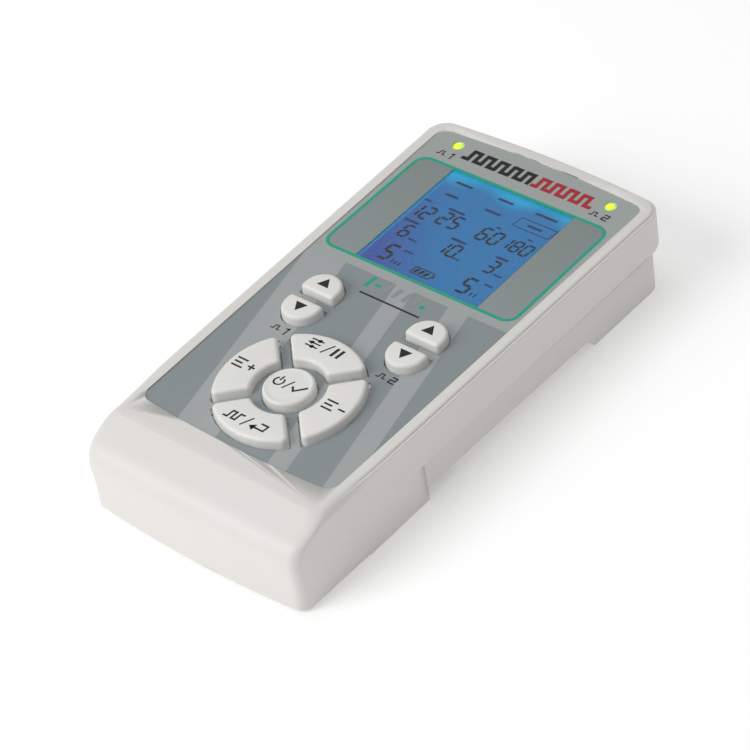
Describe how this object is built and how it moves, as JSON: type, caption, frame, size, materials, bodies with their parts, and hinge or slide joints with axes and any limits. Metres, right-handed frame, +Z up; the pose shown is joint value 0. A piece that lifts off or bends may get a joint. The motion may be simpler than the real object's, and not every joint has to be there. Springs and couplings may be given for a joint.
{
  "type": "nerve and muscle stimulator",
  "caption": "Handheld electrotherapy stimulator with a display, a ring of keys round a middle key, paired level keys, lead sockets and a sliding battery cover.",
  "frame": {"origin": "on the surface the unit rests on, under the middle of its outline", "axes": "+X to the user's right, +Y from the rounded nose to the display end, +Z up through the front panel"},
  "size_m": [0.0704, 0.14, 0.0244],
  "materials": {
    "case_shell": "moulded ABS, light warm grey, satin",
    "cover_shell": "moulded ABS, light warm grey, satin",
    "overlay_film": "printed polyester film, grey bands, fine matte",
    "window_acrylic": "clear polished acrylic",
    "display_glass": "blue liquid crystal cell",
    "white_frame": "moulded white polycarbonate",
    "light_guide": "clear moulded acrylic",
    "elastomer": "striped conductive silicone rubber",
    "lamp_lens": "moulded epoxy, yellow-green",
    "key_cap": "moulded ABS, off-white, satin",
    "silicone_mat": "moulded silicone rubber",
    "carbon_pill": "carbon-filled silicone",
    "circuit_board": "glass epoxy laminate, green mask",
    "black_moulding": "moulded black nylon or epoxy",
    "ferrite": "pressed ferrite with copper windings under tape",
    "capacitor_sleeve": "shrunk sleeve over an aluminium can",
    "plated_steel": "nickel-plated spring steel",
    "crystal_can": "drawn steel can",
    "cell_jacket": "printed film on a steel can, plain",
    "dark_steel_screw": "black-passivated steel"
  },
  "bodies": {
    "case": {"front_case": "case_shell", "rear_case": "case_shell", "front_overlay": "overlay_film", "display_window": "window_acrylic", "lcd_glass": "display_glass", "lcd_holder": "white_frame", "light_guide": "light_guide", "connector_strips": "elastomer", "channel_1_lamp": "lamp_lens", "channel_2_lamp": "lamp_lens", "key_mat": "silicone_mat", "contact_pills": "carbon_pill", "main_board": "circuit_board", "socket_board": "circuit_board", "board_header": "black_moulding", "microcontroller": "black_moulding", "driver_chips": "black_moulding", "output_transformer_1": "ferrite", "output_transformer_2": "ferrite", "boost_inductor": "ferrite", "electrolytic_capacitors": "capacitor_sleeve", "buzzer": "black_moulding", "crystal": "crystal_can", "output_socket_1": "black_moulding", "output_socket_2": "black_moulding", "charging_socket": "black_moulding", "cell_holder": "black_moulding", "cell_1": "cell_jacket", "cell_2": "cell_jacket", "cell_3": "cell_jacket", "cell_springs": "plated_steel", "cell_plates": "plated_steel", "case_screws": "dark_steel_screw", "board_screws": "plated_steel", "holder_screws": "plated_steel"},
    "cover": {"battery_cover": "cover_shell"},
    "channel_1_up_key": {"channel_1_up_key": "key_cap"},
    "channel_1_down_key": {"channel_1_down_key": "key_cap"},
    "channel_2_up_key": {"channel_2_up_key": "key_cap"},
    "channel_2_down_key": {"channel_2_down_key": "key_cap"},
    "set_key": {"set_key": "key_cap"},
    "program_up_key": {"program_up_key": "key_cap"},
    "program_down_key": {"program_down_key": "key_cap"},
    "mode_key": {"mode_key": "key_cap"},
    "ok_key": {"ok_key": "key_cap"}
  },
  "joints": [
    {"name": "cover_slide", "type": "slide", "parent": "case", "child": "cover", "axis": [0, 1, 0], "range_m": [0, 0.036]},
    {"name": "channel_1_up_press", "type": "slide", "parent": "case", "child": "channel_1_up_key", "axis": [0, 0, -1], "range_m": [0, 0.0006], "stiffness_N_per_m": 1500, "springref_m": -0.0002},
    {"name": "channel_1_down_press", "type": "slide", "parent": "case", "child": "channel_1_down_key", "axis": [0, 0, -1], "range_m": [0, 0.0006], "stiffness_N_per_m": 1500, "springref_m": -0.0002},
    {"name": "channel_2_up_press", "type": "slide", "parent": "case", "child": "channel_2_up_key", "axis": [0, 0, -1], "range_m": [0, 0.0006], "stiffness_N_per_m": 1500, "springref_m": -0.0002},
    {"name": "channel_2_down_press", "type": "slide", "parent": "case", "child": "channel_2_down_key", "axis": [0, 0, -1], "range_m": [0, 0.0006], "stiffness_N_per_m": 1500, "springref_m": -0.0002},
    {"name": "set_press", "type": "slide", "parent": "case", "child": "set_key", "axis": [0, 0, -1], "range_m": [0, 0.0006], "stiffness_N_per_m": 1500, "springref_m": -0.0002},
    {"name": "program_up_press", "type": "slide", "parent": "case", "child": "program_up_key", "axis": [0, 0, -1], "range_m": [0, 0.0006], "stiffness_N_per_m": 1500, "springref_m": -0.0002},
    {"name": "program_down_press", "type": "slide", "parent": "case", "child": "program_down_key", "axis": [0, 0, -1], "range_m": [0, 0.0006], "stiffness_N_per_m": 1500, "springref_m": -0.0002},
    {"name": "mode_press", "type": "slide", "parent": "case", "child": "mode_key", "axis": [0, 0, -1], "range_m": [0, 0.0006], "stiffness_N_per_m": 1500, "springref_m": -0.0002},
    {"name": "ok_press", "type": "slide", "parent": "case", "child": "ok_key", "axis": [0, 0, -1], "range_m": [0, 0.0006], "stiffness_N_per_m": 1500, "springref_m": -0.0002}
  ]
}
